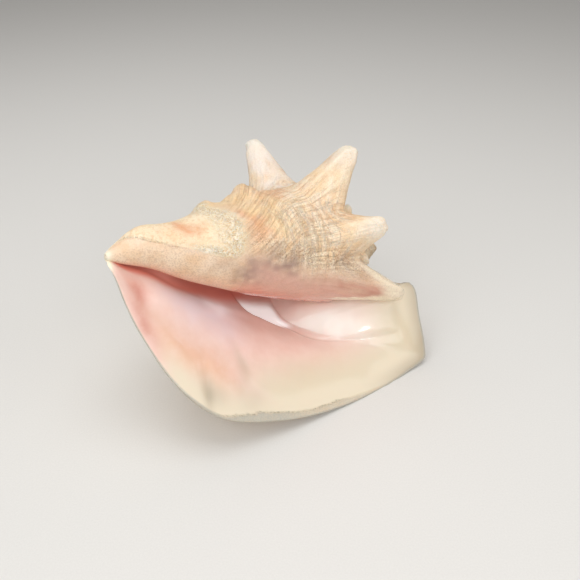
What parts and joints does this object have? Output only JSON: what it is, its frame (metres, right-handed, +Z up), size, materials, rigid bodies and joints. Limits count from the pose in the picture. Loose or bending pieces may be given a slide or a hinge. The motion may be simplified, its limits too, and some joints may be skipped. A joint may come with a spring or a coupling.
{
  "type": "conch shell",
  "caption": "Large sea snail shell with a tapering canal, blunt shoulder spines, a short spire and a wide flared glossy lip, lying on its lip.",
  "frame": {"origin": "on the ground under the centre of the bounding box, with the shell lying as it rests", "axes": "+X is the longest extent, from the canal tip toward the lip's far corner; -Y is the side that the flared lip's glossy inside faces; +Z is up"},
  "size_m": [0.2158, 0.206, 0.1503],
  "materials": {
    "shell": "glossy pink and cream inside the lip, matte chalky cream and tan outside"
  },
  "bodies": {
    "root": {"shell": "shell"}
  },
  "joints": []
}
